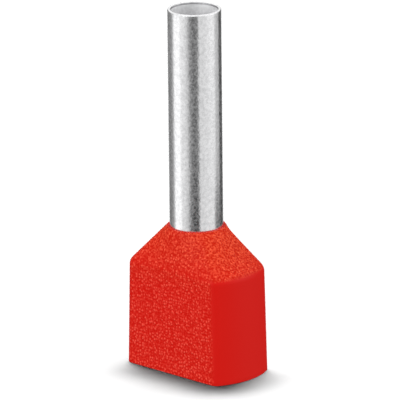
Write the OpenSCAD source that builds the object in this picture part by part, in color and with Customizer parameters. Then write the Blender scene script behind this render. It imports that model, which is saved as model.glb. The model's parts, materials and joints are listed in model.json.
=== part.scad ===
// Twin wire ferrule: a thin metal sleeve with a bell mouth, held in a moulded
// insulating collar that takes two insulated conductors side by side.
// Millimetres. +Z points up the sleeve and +X lies across the width of the collar.
// The origin is the centre of the wire entry, on the face that the collar stands on.

/* [Contact sleeve] */
// Inner diameter of the sleeve, which holds both bared conductors
sleeve_bore = 2.1; // [1.2:0.05:2.2]
// Wall of the sleeve
sleeve_wall = 0.15; // [0.1:0.01:0.18]
// Length of sleeve that stands out of the collar
pin_length = 10; // [6:0.5:18]
// Length of sleeve inside the collar, which opens out to a bell mouth
grip_length = 1.6; // [1:0.1:2]
// Growth in radius from the straight tube to the mouth
flare_growth = 0.15; // [0.05:0.01:0.18]
// Rounding of the two edges at the cut tip
tip_rounding = 0.05; // [0.01:0.01:0.06]

/* [Insulating collar] */
// Width of the wire entry
entry_width = 5.8; // [4.6:0.1:8]
// Depth of the wire entry
entry_depth = 2.9; // [2.8:0.1:4.4]
// Wall of the collar
collar_wall = 0.3; // [0.2:0.02:0.5]
// Height of the collar
collar_height = 6.6; // [5.4:0.1:9]
// Height of the sloped shoulder between the oblong body and the round neck
shoulder_height = 1.8; // [1.2:0.1:2.6]
// Wall of the collar round the sleeve at the top of the shoulder
neck_wall = 0.12; // [0.06:0.01:0.3]
// Radius of the rounded bend between the body and the shoulder
knee_radius = 0.5; // [0.2:0.05:1.2]
// Radius of the bowed narrow ends, seen from above
end_radius = 3.2; // [2.6:0.1:6]
// Radius of the four upright corners
corner_radius = 0.4; // [0.1:0.05:0.8]
// Radius of the four inner corners of the wire entry
entry_corner_radius = 0.3; // [0.1:0.05:0.8]
// Inward lean of the narrow ends, in degrees
end_draft = 1.6; // [0:0.1:3]
// Inward lean of the flat faces, in degrees
face_draft = 0.2; // [0:0.1:0.5]
// Height of the funnel that leads the strands from the wire entry to the sleeve
funnel_height = 1.2; // [0.6:0.1:2]
// Chamfer round the lower rim of the wire entry
lead_in = 0.1; // [0.04:0.02:0.16]

/* [Fit] */
// Gap all round between the sleeve and its seat in the collar
seat_gap = 0; // [0:0.01:0.05]
// Ledge left round the sleeve's mouth at the top of the funnel
mouth_ledge = 0.03; // [0.01:0.01:0.05]

/* [Hidden] */
$fn = 64;

// Sleeve, from its axis outwards and from its mouth upwards
bore_r = sleeve_bore / 2;
sleeve_r = bore_r + sleeve_wall;
mouth_r = sleeve_r + flare_growth;
mouth_z = collar_height - grip_length;
// Radius of the arc that the flare follows in section
flare_bend = (pow(grip_length, 2) + pow(flare_growth, 2)) / (2 * flare_growth);
tip_z = collar_height + pin_length;
// The tip's rounded edges leave a flat ring of at least a fifth of the wall
tip_edge = min(tip_rounding, 0.4 * sleeve_wall);

// Collar
collar_width = entry_width + 2 * collar_wall;
collar_depth = entry_depth + 2 * collar_wall;
knee_z = collar_height - shoulder_height;
funnel_z = mouth_z - funnel_height;
seat_r = sleeve_r + seat_gap;
mouth_seat_r = mouth_r + seat_gap;
funnel_top_r = mouth_seat_r + mouth_ledge;
neck_r = seat_r + neck_wall;
// How far a cutting shape runs past the face that it opens
overrun = 0.1;

// Steps along each stretch of an outline or a section
end_steps = 16;
corner_steps = 5;
flat_steps = 14;
knee_steps = 6;
flare_steps = 6;
tip_steps = 4;

// Points of a circular arc, with both of its ends
function arc(centre, radius, from, to, steps) = [
    for (i = [0 : steps])
        let (a = from + (to - from) * i / steps)
        centre + radius * [cos(a), sin(a)]
];

// Section of the flare, from the mouth up to where it meets a straight tube of this radius
function flare_line(radius) =
    let (sweep = asin(grip_length / flare_bend))
    arc([radius + flare_bend, collar_height], flare_bend, 180 + sweep, 180, flare_steps);

// Points along a straight face at y, at even angles seen from the origin
function face_points(y, from, to, steps) = [
    for (i = [1 : steps - 1])
        let (a = from + (to - from) * i / steps)
        [y * cos(a) / sin(a), y]
];

// Oblong outline with flat faces, bowed ends and rounded corners, anticlockwise
function oblong(width, depth, bow_r, corner_r) =
    let (
        face_y = depth / 2,
        bow_x = width / 2 - bow_r,
        corner_y = face_y - corner_r,
        corner_x = bow_x + sqrt(pow(bow_r - corner_r, 2) - pow(corner_y, 2)),
        bow_end = atan2(corner_y, corner_x - bow_x),
        face_start = atan2(face_y, corner_x),
        lower_corner = arc([corner_x, -corner_y], corner_r, -90, -bow_end, corner_steps),
        bow = arc([bow_x, 0], bow_r, -bow_end, bow_end, end_steps),
        upper_corner = arc([corner_x, corner_y], corner_r, bow_end, 90, corner_steps),
        face = face_points(face_y, face_start, 180 - face_start, flat_steps),
        half = concat(
            [for (i = [0 : corner_steps - 1]) lower_corner[i]],
            bow,
            [for (i = [1 : corner_steps]) upper_corner[i]],
            face
        )
    )
    concat(half, -half);

// Outline of the body at height z, set in from its outside and leaning with the draft
function body_ring(z, inset, corner_r) =
    let (
        width = collar_width - 2 * inset - 2 * z * tan(end_draft),
        depth = collar_depth - 2 * inset - 2 * z * tan(face_draft)
    )
    [for (p = oblong(width, depth, end_radius - inset, corner_r)) [p.x, p.y, z]];

// Each point of a ring moved straight out or in to a circle, at height z
function round_ring(ring, radius, z) = [
    for (p = ring)
        let (reach = radius / norm([p.x, p.y]))
        [p.x * reach, p.y * reach, z]
];

function unit(v) = v / norm(v);

// Point on the rounded bend at a corner, where share runs from 0 below it to 1 above it
function bend_point(below, corner, above, radius, share) =
    let (
        rise = unit(corner - below),
        slope = unit(above - corner),
        turn = acos(rise * slope),
        inward = (slope - cos(turn) * rise) / sin(turn),
        start = corner - radius * tan(turn / 2) * rise
    )
    start + radius * (sin(turn * share) * rise + (1 - cos(turn * share)) * inward);

// Solid between rings of equally many points round the Z axis, from the lowest up
module loft(rings) {
    count = len(rings[0]);
    last = len(rings) - 1;
    floor_hub = (last + 1) * count;
    top_hub = floor_hub + 1;
    hubs = [[0, 0, rings[0][0].z], [0, 0, rings[last][0].z]];
    sides = [
        for (k = [0 : last - 1], i = [0 : count - 1])
            let (
                a = k * count + i,
                b = k * count + (i + 1) % count
            )
            each [[a, a + count, b + count], [a, b + count, b]]
    ];
    floor_fan = [for (i = [0 : count - 1]) [i, (i + 1) % count, floor_hub]];
    top_fan = [
        for (i = [0 : count - 1])
            let (
                a = last * count + i,
                b = last * count + (i + 1) % count
            )
            [b, a, top_hub]
    ];
    points = concat([for (ring = rings) each ring], hubs);
    polyhedron(points, concat(sides, floor_fan, top_fan));
}

// Outside of the collar: drafted body, rounded knee, and a shoulder that blends to round
module collar_outside() {
    foot = body_ring(0, 0, corner_radius);
    knee = body_ring(knee_z, 0, corner_radius);
    neck = round_ring(knee, neck_r, collar_height);
    knee_bend = [
        for (k = [0 : knee_steps])
            [
                for (i = [0 : len(knee) - 1])
                    bend_point(foot[i], knee[i], neck[i], knee_radius, k / knee_steps)
            ]
    ];
    loft(concat([foot], knee_bend, [neck]));
}

// Space for the insulated conductors, narrowing through a funnel to the sleeve's mouth
module wire_entry() {
    entry_top = body_ring(funnel_z, collar_wall, entry_corner_radius);
    loft([
        body_ring(-lead_in, collar_wall - 2 * lead_in, entry_corner_radius),
        body_ring(lead_in, collar_wall, entry_corner_radius),
        entry_top,
        round_ring(entry_top, funnel_top_r, mouth_z)
    ]);
}

// Seat of the sleeve, which follows its flare up through the shoulder
module sleeve_seat() {
    rotate_extrude()
        polygon(concat(
            [
                [0, mouth_z - overrun],
                [mouth_seat_r, mouth_z - overrun]
            ],
            flare_line(seat_r),
            [
                [seat_r, collar_height + overrun],
                [0, collar_height + overrun]
            ]
        ));
}

// Thin-walled tube with a bell mouth, cut square at its tip
module contact_sleeve() {
    flare_inside = flare_line(bore_r);
    outer_edge = arc([sleeve_r - tip_edge, tip_z - tip_edge], tip_edge, 0, 90, tip_steps);
    inner_edge = arc([bore_r + tip_edge, tip_z - tip_edge], tip_edge, 90, 180, tip_steps);
    color([0.80, 0.81, 0.82])
        rotate_extrude()
            polygon(concat(
                flare_line(sleeve_r),
                outer_edge,
                inner_edge,
                [for (i = [flare_steps : -1 : 0]) flare_inside[i]]
            ));
}

// Moulded collar, one piece
module insulating_collar() {
    color([0.85, 0.15, 0.11])
        difference() {
            collar_outside();
            wire_entry();
            sleeve_seat();
        }
}

contact_sleeve();
insulating_collar();
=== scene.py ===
"""A twin wire ferrule in a white studio: a tinned sleeve held in a red moulded collar."""
import json
import math

import bpy
import numpy as np
from mathutils import Matrix, Vector


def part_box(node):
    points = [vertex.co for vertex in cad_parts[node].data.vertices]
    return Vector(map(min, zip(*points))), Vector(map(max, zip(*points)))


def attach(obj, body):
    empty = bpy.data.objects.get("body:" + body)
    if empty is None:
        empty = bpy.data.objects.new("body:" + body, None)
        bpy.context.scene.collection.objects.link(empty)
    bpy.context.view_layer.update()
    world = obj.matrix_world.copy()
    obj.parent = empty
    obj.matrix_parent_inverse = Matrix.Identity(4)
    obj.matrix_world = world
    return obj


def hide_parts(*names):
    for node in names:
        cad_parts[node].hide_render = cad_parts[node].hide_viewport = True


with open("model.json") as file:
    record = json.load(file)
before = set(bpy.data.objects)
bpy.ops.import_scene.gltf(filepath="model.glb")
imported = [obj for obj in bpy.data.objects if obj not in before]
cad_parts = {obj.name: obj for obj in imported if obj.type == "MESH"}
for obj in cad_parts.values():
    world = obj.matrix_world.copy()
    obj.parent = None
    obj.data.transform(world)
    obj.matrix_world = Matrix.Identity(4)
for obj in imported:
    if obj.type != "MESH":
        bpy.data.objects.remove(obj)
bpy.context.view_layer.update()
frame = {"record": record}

# ---------------------------------------------------------------- sizes, in millimetres
MM = 0.001

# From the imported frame
MOUNTS = {mount["name"]: mount for mount in frame["record"]["mounts"]}
SLEEVE_R = MOUNTS["crimp_pin"]["dims"]["r_mm"]
BORE_R = MOUNTS["conductor_bore"]["dims"]["r_mm"]
SLEEVE_LOW, SLEEVE_HIGH = (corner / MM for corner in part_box("contact_sleeve"))
COLLAR_LOW, COLLAR_HIGH = (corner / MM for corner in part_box("insulating_collar"))
TIP_Z = SLEEVE_HIGH.z
MOUTH_Z = SLEEVE_LOW.z
MOUTH_R = SLEEVE_HIGH.x
COLLAR_WIDTH = COLLAR_HIGH.x - COLLAR_LOW.x
COLLAR_DEPTH = COLLAR_HIGH.y - COLLAR_LOW.y
COLLAR_TOP = COLLAR_HIGH.z

# The values of part.scad that the frame doesn't hold
COLLAR_WALL = 0.3
SHOULDER_HEIGHT = 1.8
NECK_WALL = 0.12
KNEE_RADIUS = 0.5
END_RADIUS = 3.2
CORNER_RADIUS = 0.4
ENTRY_CORNER_RADIUS = 0.3
END_DRAFT = math.radians(1.6)
FACE_DRAFT = math.radians(0.2)
FUNNEL_HEIGHT = 1.2
LEAD_IN = 0.1
MOUTH_LEDGE = 0.03
KNEE_Z = COLLAR_TOP - SHOULDER_HEIGHT
FUNNEL_Z = MOUTH_Z - FUNNEL_HEIGHT

# Small roundings that a mould leaves on its sharp edges, and the one inside above the wire entry
EDGE = 0.025
NECK_EDGE = 0.05
THROAT_BEND = 0.3

# The tip's edges are rounded over nearly the whole wall, and the band round the inner one is
# painted dark, as shade where the tip turns into the bore
TIP_ROUNDING = 0.074
TIP_STEPS = 8
EDGE_SHADE_STEPS = 5

# The collar's grain starts where the normal's Y is this large, and is full this much further on
FLAT_FROM = 0.90
FLAT_FADE = 0.09
# Height over which the grain comes in at the knee
KNEE_FADE = 0.12
# How much of the shoulder's own grain, with its painted sheen, there is above the flat faces,
# against 1 on the ends
FACE_SHARE = 0.45


# ---------------------------------------------------------------- outlines and rings
def arc(centre, radius, start, end, steps):
    """Points on a circle from one angle to another, both ends included."""
    angles = np.linspace(start, end, steps + 1)
    return np.c_[centre[0] + radius * np.cos(angles), centre[1] + radius * np.sin(angles)]


def oblong(width, depth, bow_r, corner_r, bow_steps=40, corner_steps=10, face_steps=60):
    """Anticlockwise outline with flat faces, bowed ends and rounded corners."""
    face_y = depth / 2
    bow_x = width / 2 - bow_r
    corner_y = face_y - corner_r
    corner_x = bow_x + math.sqrt((bow_r - corner_r) ** 2 - corner_y ** 2)
    bow_end = math.atan2(corner_y, corner_x - bow_x)
    face_start = math.atan2(face_y, corner_x)
    lower = arc((corner_x, -corner_y), corner_r, -math.pi / 2, -bow_end, corner_steps)
    bow = arc((bow_x, 0), bow_r, -bow_end, bow_end, bow_steps)
    upper = arc((corner_x, corner_y), corner_r, bow_end, math.pi / 2, corner_steps)
    angles = np.linspace(face_start, math.pi - face_start, face_steps + 1)[1:-1]
    face = np.c_[face_y / np.tan(angles), np.full(len(angles), face_y)]
    half = np.vstack([lower[:-1], bow, upper[1:], face])
    return np.vstack([half, -half])


def body_ring(z, inset, corner_r):
    """The collar's outline at a height, set in from its outside."""
    width = COLLAR_WIDTH - 2 * inset - 2 * z * math.tan(END_DRAFT)
    depth = COLLAR_DEPTH - 2 * inset - 2 * z * math.tan(FACE_DRAFT)
    flat = oblong(width, depth, END_RADIUS - inset, corner_r)
    return np.c_[flat, np.full(len(flat), z)]


def round_ring(ring, radius, z):
    """Each point of a ring moved straight in or out to a circle."""
    flat = ring[:, :2] / np.linalg.norm(ring[:, :2], axis=1)[:, None] * radius
    return np.c_[flat, np.full(len(flat), z)]


def bend(before, corner, after, radius, steps):
    """Rings that round off the corner ring between its two neighbours."""
    rise = corner - before
    rise /= np.linalg.norm(rise, axis=1)[:, None]
    slope = after - corner
    slope /= np.linalg.norm(slope, axis=1)[:, None]
    cosine = np.clip((rise * slope).sum(1), -1, 1)[:, None]
    turn = np.arccos(cosine)
    inward = (slope - cosine * rise) / np.sin(turn)
    start = corner - radius * np.tan(turn / 2) * rise
    return [
        start + radius * (np.sin(turn * t) * rise + (1 - np.cos(turn * t)) * inward)
        for t in np.linspace(0, 1, steps + 1)
    ]


def between(first, last, steps):
    """Rings strictly between two rings."""
    return [first + (last - first) * k / steps for k in range(1, steps)]


def flare_line(radius, steps=16):
    """Radius and height pairs down the flare, from the straight tube to the mouth."""
    grip, growth = COLLAR_TOP - MOUTH_Z, MOUTH_R - SLEEVE_R
    flare_bend = (grip ** 2 + growth ** 2) / (2 * growth)
    sweep = math.asin(grip / flare_bend)
    return arc((radius + flare_bend, COLLAR_TOP), flare_bend, math.pi, math.pi + sweep, steps)


# ---------------------------------------------------------------- pieces
def place(name, data):
    """An object with this data, in the scene."""
    thing = bpy.data.objects.new(name, data)
    bpy.context.scene.collection.objects.link(thing)
    return thing


def closed_skin(name, rings):
    """A smooth mesh over a closed series of closed rings, as on a ring doughnut."""
    count, points = len(rings), len(rings[0])
    faces = []
    for k in range(count):
        for i in range(points):
            a, b = k * points + i, k * points + (i + 1) % points
            c = (k + 1) % count * points
            faces.append((a, b, c + (i + 1) % points, c + i))
    mesh = bpy.data.meshes.new(name)
    mesh.from_pydata((np.vstack(rings) * MM).tolist(), [], faces)
    mesh.shade_smooth()
    mesh.validate()
    return place(name, mesh)


def clamp(value):
    """The value, held between 0 and 1."""
    return min(max(value, 0.0), 1.0)


def mark_grain(piece):
    """Writes where the collar is grained, for its material.

    "grain" is 1 on the flat faces and the shoulder, and 0 on the bowed ends and inside.
    "shoulder" grows from 0 on the body, over the bend at the knee, and is largest on the ends.
    """
    mesh = piece.data
    grain = mesh.attributes.new("grain", "FLOAT", "POINT")
    shoulder = mesh.attributes.new("shoulder", "FLOAT", "POINT")
    for vertex, cover, share in zip(mesh.vertices, grain.data, shoulder.data):
        above_knee = vertex.co.z / MM - KNEE_Z
        over_knee = above_knee / KNEE_FADE + 0.5
        on_face = (abs(vertex.normal.y) - FLAT_FROM) / FLAT_FADE
        outward = vertex.normal.xy.dot(vertex.co.xy) > 0
        cover.value = clamp(max(over_knee, on_face)) if outward else 0.0
        # The shoulder share also picks the shoulder's paler, more orange grain colours, painted
        # sheen on the upper parts and the ends
        rise = clamp(above_knee / SHOULDER_HEIGHT + 0.5)
        share.value = rise * (FACE_SHARE + (1 - FACE_SHARE) * abs(vertex.normal.x))


def make_collar():
    """The moulded collar, one closed skin from its foot over the neck and down inside."""
    foot = body_ring(0, 0, CORNER_RADIUS)
    knee = body_ring(KNEE_Z, 0, CORNER_RADIUS)
    neck = round_ring(knee, SLEEVE_R + NECK_WALL, COLLAR_TOP)
    lip = round_ring(knee, SLEEVE_R, COLLAR_TOP)
    seat = [round_ring(knee, radius, z) for radius, z in flare_line(SLEEVE_R)]
    ledge = round_ring(knee, MOUTH_R + MOUTH_LEDGE, MOUTH_Z)
    throat = body_ring(FUNNEL_Z, COLLAR_WALL, ENTRY_CORNER_RADIUS)
    mouth = body_ring(LEAD_IN, COLLAR_WALL, ENTRY_CORNER_RADIUS)
    rim = body_ring(0, COLLAR_WALL - LEAD_IN, ENTRY_CORNER_RADIUS)

    foot_bend = bend(rim, foot, knee, EDGE, 4)
    knee_bend = bend(foot, knee, neck, KNEE_RADIUS, 14)
    neck_bend = bend(knee, neck, lip, NECK_EDGE, 5)
    lip_bend = bend(neck, lip, seat[1], EDGE, 4)
    ledge_bend = bend(seat[-1], ledge, throat, EDGE / 2, 3)
    throat_bend = bend(ledge, throat, mouth, THROAT_BEND, 8)
    mouth_bend = bend(throat, mouth, rim, EDGE, 3)
    rim_bend = bend(mouth, rim, foot, EDGE, 3)

    rings = foot_bend + between(foot_bend[-1], knee_bend[0], 24) + knee_bend
    rings += between(knee_bend[-1], neck_bend[0], 16) + neck_bend
    rings += lip_bend + seat[1:] + ledge_bend
    rings += between(ledge_bend[-1], throat_bend[0], 8) + throat_bend
    rings += between(throat_bend[-1], mouth_bend[0], 12) + mouth_bend + rim_bend
    piece = closed_skin("collar", rings)
    mark_grain(piece)
    piece.data.materials.append(red_plastic())
    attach(piece, "root")
    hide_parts("insulating_collar")
    return piece


def make_sleeve():
    """The tinned sleeve, one turned skin with its own metal outside, inside and at the tip, the
    inside's tone lowered as painted shade and a dark band of painted shade round the tip's inner
    edge.
    """
    circle = arc((0, 0), 1, 0, 2 * math.pi, 144)[:-1]
    outside, inside = flare_line(SLEEVE_R), flare_line(BORE_R)
    tip = TIP_Z - TIP_ROUNDING
    section = np.vstack([
        outside[::-1],
        arc((SLEEVE_R - TIP_ROUNDING, tip), TIP_ROUNDING, 0, math.pi / 2, TIP_STEPS),
        arc((BORE_R + TIP_ROUNDING, tip), TIP_ROUNDING, math.pi / 2, math.pi, TIP_STEPS),
        [(BORE_R, tip - EDGE)],
        inside,
    ])
    rings = [np.c_[circle * radius, np.full(len(circle), z)] for radius, z in section]
    piece = closed_skin("sleeve", rings)
    bore_starts = len(section) - len(inside) - 1
    bore_ends = len(section) - 1
    for face in piece.data.polygons:
        band = face.index // len(circle)
        if bore_starts <= band < bore_ends:
            face.material_index = 1
        elif bore_starts - EDGE_SHADE_STEPS <= band < bore_starts:
            face.material_index = 2
    piece.data.materials.append(
        tinned_metal("tinned_metal", tone=0.98, spread=0.20, roughness=0.17, metallic=1.0)
    )
    # The bore is duller tin, less metallic and rougher, and its lower tone is painted shade inside
    # the bore
    piece.data.materials.append(
        tinned_metal("tinned_bore_shaded", tone=0.86, spread=0.10, roughness=0.5, metallic=0.6)
    )
    # A band round the tip's inner edge, painted dark as shade where the tip turns into the bore
    piece.data.materials.append(
        tinned_metal("shaded_tip_edge", tone=0.42, spread=0.12, roughness=0.4, metallic=0.9)
    )
    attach(piece, "root")
    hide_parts("contact_sleeve")
    return piece


# ---------------------------------------------------------------- materials
class Nodes:
    """Short calls that add and join the nodes of one material or world."""

    def __init__(self, owner, output):
        owner.use_nodes = True
        self.owner = owner
        self.tree = owner.node_tree
        self.tree.nodes.clear()
        self.output = self.add(output)

    def add(self, kind, inputs=(), **settings):
        """A node with its settings, and with sockets or plain values on its inputs."""
        node = self.tree.nodes.new(kind)
        for key, value in settings.items():
            setattr(node, key, value)
        for key, value in dict(inputs).items():
            self.put(node.inputs[key], value)
        return node

    def put(self, target, value):
        """Gives an input a socket to read from, or a plain value."""
        if isinstance(value, bpy.types.NodeSocket):
            self.tree.links.new(value, target)
        else:
            target.default_value = value

    def maths(self, operation, a, b):
        """Two numbers joined by an operation, such as ADD, MULTIPLY or MAXIMUM."""
        return self.add("ShaderNodeMath", {0: a, 1: b}, operation=operation).outputs[0]

    def remap(self, value, start, end, low=0.0, high=1.0):
        """A smooth step of the value from low at start to high at end."""
        inputs = {"Value": value, "From Min": start, "From Max": end, "To Min": low, "To Max": high}
        return self.add("ShaderNodeMapRange", inputs, interpolation_type="SMOOTHSTEP").outputs[0]

    def blend(self, factor, first, second):
        """A colour between two, each of them a socket or plain numbers."""
        node = self.add("ShaderNodeMix", data_type="RGBA")
        for key, value in (("Factor", factor), ("A", first), ("B", second)):
            self.put([s for s in node.inputs if s.name == key and s.enabled][0], value)
        return [s for s in node.outputs if s.enabled][0]

    def ramp(self, factor, stops):
        """Greys at positions from 0 to 1, joined by straight lines."""
        node = self.add("ShaderNodeValToRGB", {"Fac": factor})
        elements = node.color_ramp.elements
        while len(elements) > 1:
            elements.remove(elements[-1])
        for k, (position, grey) in enumerate(stops):
            stop = elements[0] if k == 0 else elements.new(position)
            stop.position = position
            stop.color = (grey, grey, grey, 1)
        return node.outputs[0]

    def noise(self, where, scale, detail, roughness=0.5):
        """A noise value, of which the scale is the number of its features in a metre."""
        inputs = {"Vector": where, "Scale": scale, "Detail": detail, "Roughness": roughness}
        return self.add("ShaderNodeTexNoise", inputs).outputs[0]

    def position(self):
        """The point on the piece, in its own frame."""
        return self.add("ShaderNodeTexCoord").outputs["Object"]

    def seen(self):
        """1 for a ray from the camera, a reflection or a clear surface, and 0 for the rest."""
        ray = self.add("ShaderNodeLightPath").outputs
        plain = self.maths("MAXIMUM", ray["Is Camera Ray"], ray["Is Glossy Ray"])
        return self.maths("MAXIMUM", plain, ray["Is Transmission Ray"])

    def surface(self, shader):
        """Joins the shader to the output, and gives the finished material or world."""
        self.tree.links.new(shader.outputs[0], self.output.inputs["Surface"])
        return self.owner


def new_material(name):
    """An empty material with only its output."""
    return Nodes(bpy.data.materials.new(name), "ShaderNodeOutputMaterial")


# Smooth plastic, then the grain's colours on the faces and on the end shoulders: its pits darkened
# as painted shade and its bumps lightened as painted highlights, paler and more orange on the
# shoulders as painted sheen
SMOOTH_RED = (0.70, 0.0085, 0.0045, 1.0)
FACE_PIT_SHADE, FACE_BUMP_HIGHLIGHT = (0.65, 0.005, 0.0005, 1.0), (1.0, 0.080, 0.050, 1.0)
SHOULDER_PIT_SHADE, SHOULDER_BUMP_SHEEN = (0.58, 0.015, 0.0005, 1.0), (1.0, 0.120, 0.044, 1.0)
GRAIN_DEPTH = 0.02 * MM


def grain_height(n, where, shoulder):
    """Height of the plastic's spark-eroded grain: rounded bumps with finer ridges between them."""
    cells = n.add("ShaderNodeTexVoronoi", {"Vector": where, "Scale": 6600.0, "Randomness": 0.7})
    dome = n.remap(cells.outputs["Distance"], 0.5, 0.1, low=-0.15)
    chance = n.add("ShaderNodeSeparateColor", {"Color": cells.outputs["Color"]}).outputs[0]
    bumps = n.maths("MULTIPLY", dome, n.remap(chance, -0.6, 1.0))
    patchy = n.remap(n.noise(where, 700.0, detail=1.0), 0.3, 0.6, low=0.75)
    ridges = n.remap(n.noise(where, 12000.0, detail=0.0), 0.3, 0.7)
    # The faces have more of the bumps, the shoulder more of the ridges
    bump_share = n.remap(shoulder, 0.0, 1.0, low=1.2, high=0.8)
    ridge_share = n.remap(shoulder, 0.0, 1.0, low=0.38, high=0.62)
    return n.maths(
        "ADD",
        n.maths("MULTIPLY", n.maths("MULTIPLY", bumps, patchy), bump_share),
        n.maths("MULTIPLY", ridges, ridge_share),
    )


def red_plastic():
    """Moulded red plastic, grained where the mesh is marked and smooth satin elsewhere, with
    painted highlights on the grain's bumps and painted shade in its pits.
    """
    n = new_material("red_plastic")
    cover = n.add("ShaderNodeAttribute", attribute_name="grain").outputs["Fac"]
    shoulder = n.add("ShaderNodeAttribute", attribute_name="shoulder").outputs["Fac"]
    height = grain_height(n, n.position(), shoulder)
    bump = n.add("ShaderNodeBump", {
        "Height": n.maths("MULTIPLY", height, cover),
        "Strength": 1.0,
        "Distance": GRAIN_DEPTH,
    })
    # The grain's colour runs from painted shade in its pits to painted highlights on its bumps,
    # with the shoulders' painted sheen mixed in by the shoulder share
    low = n.blend(shoulder, FACE_PIT_SHADE, SHOULDER_PIT_SHADE)
    high = n.blend(shoulder, FACE_BUMP_HIGHLIGHT, SHOULDER_BUMP_SHEEN)
    return n.surface(n.add("ShaderNodeBsdfPrincipled", {
        "Base Color": n.blend(cover, SMOOTH_RED, n.blend(height, low, high)),
        "Roughness": 0.5,
        "Specular IOR Level": 0.1,
        "Normal": bump.outputs[0],
    }))


def tinned_metal(name, tone, spread, roughness, metallic):
    """Dull tin plating, mottled from its tone down by the spread, with fine duller specks."""
    n = new_material(name)
    where = n.position()
    mottle = n.remap(n.noise(where, 6500.0, detail=2.0, roughness=0.8), 0.3, 0.7)
    specks = n.noise(where, 9000.0, detail=1.0)
    bump = n.add("ShaderNodeBump", {"Height": specks, "Strength": 1.0, "Distance": 0.005 * MM})
    dark = tone - spread
    return n.surface(n.add("ShaderNodeBsdfPrincipled", {
        "Base Color": n.blend(
            mottle, (dark, dark, dark + 0.01, 1.0), (tone, tone, tone + 0.01, 1.0)
        ),
        "Metallic": n.remap(specks, 0.35, 0.65, low=metallic - 0.15, high=metallic),
        "Roughness": roughness,
        "Normal": bump.outputs[0],
    }))


# ---------------------------------------------------------------- studio
# Where the camera stands, in degrees, and how far off and how wide it sees, in millimetres
AZIMUTH = 43.57
ELEVATION = 16.85
ROLL = -0.59
DISTANCE = 333.3
SPAN = 17.825
# The point that it looks at: its height on the axis, then a little to the right of that and below
AIM_HEIGHT = 8.0
AIM_RIGHT = 0.171
AIM_DOWN = 0.250

# The floor: how far it reaches each way and how high it lies, in millimetres, then its own tone,
# which its suns light to white, and the light that it throws on the object
FLOOR_REACH = 400
FLOOR_Z = -0.002
FLOOR_TONE = 0.05
FLOOR_BOUNCE = 0.45
# Its suns: elevation, azimuths from the camera and width of each, in degrees
SHADOW_RISE = 70
SHADOW_TURNS = (144, 162, 180, 198, 216)
SUN_ANGLE = 16

# The world's plain light, for all rays that don't show the world itself
WORLD_LIGHT = 0.5

# Softboxes: azimuth from the camera and elevation in degrees, width in millimetres, power in watts
SOFTBOXES = [
    ("key", -44, 24, 100, 0.136),
    ("fill", 80, 12, 100, 0.125),
    ("back", 180, 40, 100, 0.06),
    ("top", 0, 88, 120, 0.03),
]
SOFTBOX_DISTANCE = 150
SOFTBOX_AIM = Vector((0, 0, 6))

# Cards: azimuth from the camera in degrees, then the brightness there, high up and near the floor
CARDS = [
    (-180, 0.7, 0.7), (-160, 0.7, 0.7), (-152, 0.16, 0.14), (-116, 0.22, 0.20), (-104, 0.42, 0.44),
    (-93, 1.1, 1.1), (-68, 1.1, 1.1), (-60, 0.82, 0.78), (-46, 0.76, 0.70), (-32, 0.58, 0.54),
    (-22, 0.25, 0.15), (-5, 0.10, 0.02), (11, 0.17, 0.05), (18, 0.72, 0.72), (30, 0.70, 0.70),
    (45, 0.76, 0.76), (80, 0.80, 0.76), (86, 0.79, 0.30), (95, 0.50, 0.12), (115, 0.44, 0.14),
    (120, 0.07, 0.06), (150, 0.03, 0.03), (160, 0.7, 0.7), (180, 0.7, 0.7),
]
# Heights between which they pass from the one brightness to the other
CARD_LOW, CARD_HIGH = 2.5, 6.0
CARD_RADIUS = 15
CARD_HEIGHT = 20
ROOF_HEIGHT = 40
CARD_LIFT = 0.02
CARD_SIDES = 96


def direction(turn, rise):
    """Unit vector at an azimuth from the camera's and an elevation, both in degrees."""
    turn, rise = math.radians(AZIMUTH + turn), math.radians(rise)
    reach = math.cos(rise)
    return Vector((math.sin(turn) * reach, -math.cos(turn) * reach, math.sin(rise)))


def make_camera():
    """A long lens from far off, which keeps the sleeve's sides nearly parallel."""
    back = direction(0, ELEVATION)
    right = direction(90, 0)
    up = back.cross(right)
    roll = math.radians(ROLL)
    across = right * math.cos(roll) + up * math.sin(roll)
    upright = up * math.cos(roll) - right * math.sin(roll)
    aim = Vector((0.0, 0.0, AIM_HEIGHT)) + across * AIM_RIGHT - upright * AIM_DOWN
    data = bpy.data.cameras.new("camera")
    data.sensor_width = 36.0
    data.lens = data.sensor_width * DISTANCE / SPAN
    data.clip_start, data.clip_end = 0.01, 10.0
    camera = place("camera", data)
    camera.location = (aim + back * DISTANCE) * MM
    camera.rotation_mode = "QUATERNION"
    camera.rotation_quaternion = Matrix((across, upright, back)).transposed().to_quaternion()
    bpy.context.scene.camera = camera


def make_lamp(name, data, back):
    """A lamp that shines against the direction it is given."""
    lamp = place(name, data)
    lamp.rotation_mode = "QUATERNION"
    lamp.rotation_quaternion = back.to_track_quat("Z", "Y")
    return lamp


def collection_of(name, thing):
    """A collection for light linking, with one object in it."""
    collection = bpy.data.collections.new(name)
    collection.objects.link(thing)
    return collection


def make_floor():
    """A floor that is white to the camera and in reflections, with the collar's soft shadow."""
    reach = FLOOR_REACH * MM
    corners = [(-reach, -reach, 0), (reach, -reach, 0), (reach, reach, 0), (-reach, reach, 0)]
    mesh = bpy.data.meshes.new("floor")
    mesh.from_pydata(corners, [], [(0, 1, 2, 3)])
    floor = place("floor", mesh)
    floor.location.z = FLOOR_Z * MM

    n = new_material("white_floor")
    paint = n.add("ShaderNodeBsdfDiffuse", {"Color": (FLOOR_TONE, FLOOR_TONE, FLOOR_TONE, 1)})
    bounce = n.add("ShaderNodeEmission", {"Strength": FLOOR_BOUNCE})
    mixed = n.add("ShaderNodeMixShader", {0: n.seen(), 1: bounce.outputs[0], 2: paint.outputs[0]})
    mesh.materials.append(n.surface(mixed))
    return floor


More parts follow.
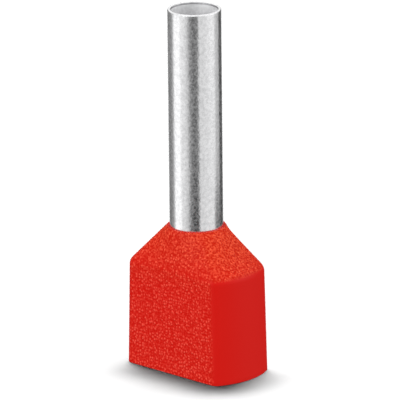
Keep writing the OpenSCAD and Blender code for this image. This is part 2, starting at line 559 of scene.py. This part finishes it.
def make_shadow_lights(floor, collar):
    """Soft suns in a row behind the object, which light only the floor.

    Together they make the open floor exactly white, and only the collar stands in their light.
    """
    receivers = collection_of("lit_floor", floor)
    blockers = collection_of("shadow_casters", collar)
    for k, turn in enumerate(SHADOW_TURNS):
        data = bpy.data.lights.new(f"shadow_{k}", "SUN")
        data.angle = math.radians(SUN_ANGLE)
        data.energy = math.pi / FLOOR_TONE / math.sin(math.radians(SHADOW_RISE)) / len(SHADOW_TURNS)
        lamp = make_lamp(f"shadow_{k}", data, direction(turn, SHADOW_RISE))
        lamp.light_linking.receiver_collection = receivers
        lamp.light_linking.blocker_collection = blockers


def make_world():
    """White to the camera and in reflections, and a plain grey light on everything else."""
    world = bpy.data.worlds.new("studio")
    n = Nodes(world, "ShaderNodeOutputWorld")
    strength = n.remap(n.seen(), 0.0, 1.0, low=WORLD_LIGHT, high=1.0)
    bpy.context.scene.world = n.surface(
        n.add("ShaderNodeBackground", {"Color": (1, 1, 1, 1), "Strength": strength})
    )


def make_cards(sleeve):
    """Light and dark cards in a ring, with a white roof, which only the sleeve reflects."""
    circle = arc((0, 0), CARD_RADIUS * MM, 0, 2 * math.pi, CARD_SIDES)[:-1]
    count = len(circle)
    points = [(x, y, z * MM) for z in (CARD_LIFT, CARD_HEIGHT) for x, y in circle]
    points += [(0, 0, CARD_LIFT * MM), (0, 0, ROOF_HEIGHT * MM)]
    walls = [(i, (i + 1) % count, count + (i + 1) % count, count + i) for i in range(count)]
    ground = [(i, (i + 1) % count, 2 * count) for i in range(count)]
    roof = [(count + i, count + (i + 1) % count, 2 * count + 1) for i in range(count)]
    mesh = bpy.data.meshes.new("cards")
    mesh.from_pydata(points, [], walls + ground + roof)
    cards = place("cards", mesh)
    # The ring's own X axis points at the camera, so the gradient starts and ends straight behind
    cards.rotation_euler.z = math.radians(AZIMUTH) - math.pi / 2
    cards.visible_camera = False
    cards.visible_diffuse = False
    cards.visible_shadow = False
    cards.visible_transmission = False
    cards.light_linking.receiver_collection = collection_of("lit_by_cards", sleeve)

    n = new_material("cards")
    where = n.position()
    turn = n.add("ShaderNodeTexGradient", {"Vector": where}, gradient_type="RADIAL").outputs["Fac"]
    upper = n.ramp(turn, [((angle + 180) / 360, above) for angle, above, _ in CARDS])
    lower = n.ramp(turn, [((angle + 180) / 360, below) for angle, _, below in CARDS])
    height = n.add("ShaderNodeSeparateXYZ", {"Vector": where}).outputs["Z"]
    bright = n.blend(n.remap(height, CARD_LOW * MM, CARD_HIGH * MM), lower, upper)
    mesh.materials.append(n.surface(n.add("ShaderNodeEmission", {"Color": bright})))
    n = new_material("white_roof")
    mesh.materials.append(n.surface(n.add("ShaderNodeEmission")))
    for face in mesh.polygons[-len(roof):]:
        face.material_index = 1


def make_softbox(name, turn, rise, width, power):
    """A square area light aimed at the middle of the object."""
    data = bpy.data.lights.new(name, "AREA")
    data.shape = "SQUARE"
    data.size = width * MM
    data.energy = power
    back = direction(turn, rise)
    lamp = make_lamp(name, data, back)
    lamp.location = (back * SOFTBOX_DISTANCE + SOFTBOX_AIM) * MM


collar = make_collar()
sleeve = make_sleeve()
make_camera()
floor = make_floor()
make_shadow_lights(floor, collar)
make_world()
make_cards(sleeve)
for softbox in SOFTBOXES:
    make_softbox(*softbox)
bpy.context.scene.view_settings.view_transform = "Standard"
